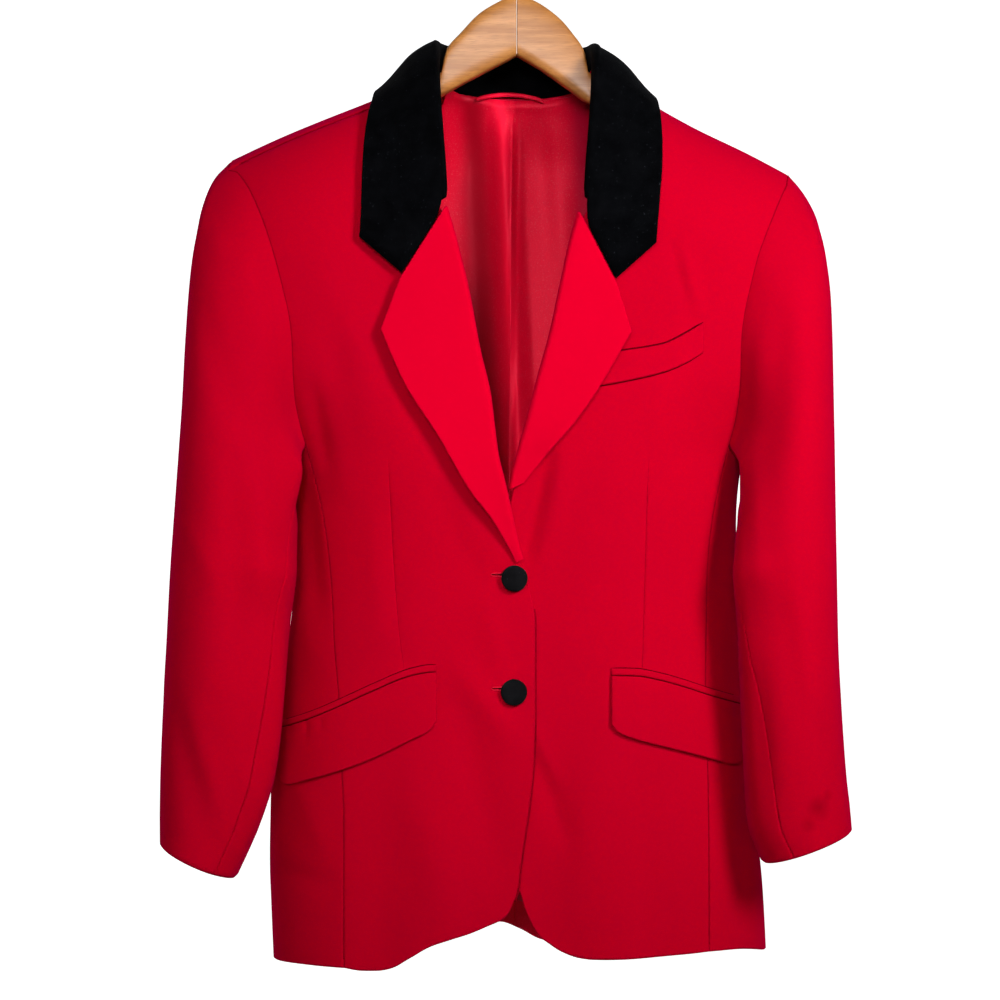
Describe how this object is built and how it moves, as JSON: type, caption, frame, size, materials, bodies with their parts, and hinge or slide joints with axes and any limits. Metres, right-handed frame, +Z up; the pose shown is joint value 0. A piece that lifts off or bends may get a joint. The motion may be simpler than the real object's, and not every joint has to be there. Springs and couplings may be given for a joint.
{
  "type": "wool jacket on a wooden hanger",
  "caption": "Tailored wool jacket with a velvet collar, buttoned in front, hung on a two-arm wooden hanger.",
  "frame": {"origin": "inside top of the hanger's hook, where it rests on the rail", "axes": "+Z up, the front faces -Y, the wearer's right is -X"},
  "size_m": [0.5362, 0.1678, 0.8514],
  "materials": {
    "wool": "plain-woven wool with a soft nap",
    "lining": "satin",
    "velvet": "velvet",
    "button": "cloth-covered",
    "wood": "clear satin varnish",
    "steel": "polished"
  },
  "bodies": {
    "root": {"front_right": "wool", "front_left": "wool", "side_right": "wool", "side_left": "wool", "back_right": "wool", "back_left": "wool", "lapel_right": "wool", "lapel_left": "wool", "sleeve_top_right": "wool", "sleeve_under_right": "wool", "sleeve_top_left": "wool", "sleeve_under_left": "wool", "flap_right": "wool", "flap_left": "wool", "jet_right": "wool", "jet_left": "wool", "breast_welt": "wool", "lining_back": "lining", "hanger_loop": "lining", "collar": "velvet", "button_upper": "button", "button_lower": "button", "hanger_arm_right": "wood", "hanger_arm_left": "wood", "hanger_hook": "steel"}
  },
  "joints": []
}
